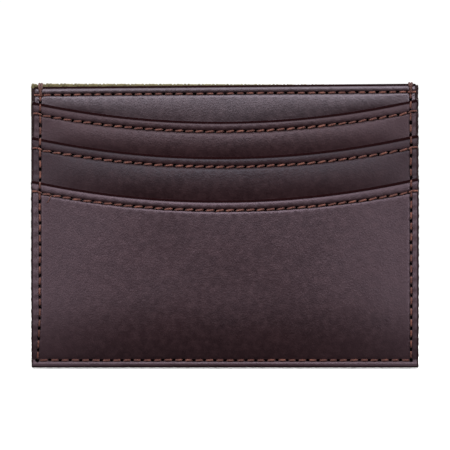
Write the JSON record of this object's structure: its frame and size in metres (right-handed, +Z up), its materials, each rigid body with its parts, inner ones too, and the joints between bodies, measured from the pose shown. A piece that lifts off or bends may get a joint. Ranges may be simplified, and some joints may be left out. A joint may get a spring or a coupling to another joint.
{
  "type": "card wallet",
  "caption": "Slim sewn card wallet with stacked curved-mouth leather card pockets, an open-top main pocket and a woven cloth back.",
  "frame": {"origin": "on the ground, under the middle of the bottom edge", "axes": "+X along the width, to the right as seen from the front; +Y from the front to the cloth back; +Z up, towards the pocket mouths"},
  "size_m": [0.102, 0.007, 0.075],
  "materials": {
    "leather": "smooth, waxed, soft gloss",
    "wool_cloth": "coarse olive twill weave",
    "lining": "fine plain weave",
    "tape": "thin woven tape",
    "board": "pressed fibre board, modelled as dense felt",
    "edge_paint": "smooth flexible edge paint, satin",
    "thread": "twisted waxed polyester thread"
  },
  "bodies": {
    "root": {"back_panel_cloth": "wool_cloth", "back_stiffener_board": "board", "back_top_seam_thread": "thread", "bottom_edge_coating": "edge_paint", "front_base_leather": "leather", "left_corner_tack": "thread", "left_edge_coating": "edge_paint", "lower_mouth_tape": "tape", "lower_mouth_thread": "thread", "lower_pocket_leather": "leather", "lower_pocket_lining": "lining", "main_pocket_back_lining": "lining", "main_pocket_front_lining": "lining", "middle_mouth_tape": "tape", "middle_mouth_thread": "thread", "middle_pocket_floor_thread": "thread", "middle_pocket_leather": "leather", "middle_pocket_lining": "lining", "perimeter_back_thread": "thread", "perimeter_front_thread": "thread", "right_corner_tack": "thread", "right_edge_coating": "edge_paint", "top_edge_tape": "tape", "top_seam_thread": "thread", "upper_mouth_tape": "tape", "upper_mouth_thread": "thread", "upper_pocket_floor_thread": "thread", "upper_pocket_leather": "leather", "upper_pocket_lining": "lining"}
  },
  "joints": []
}
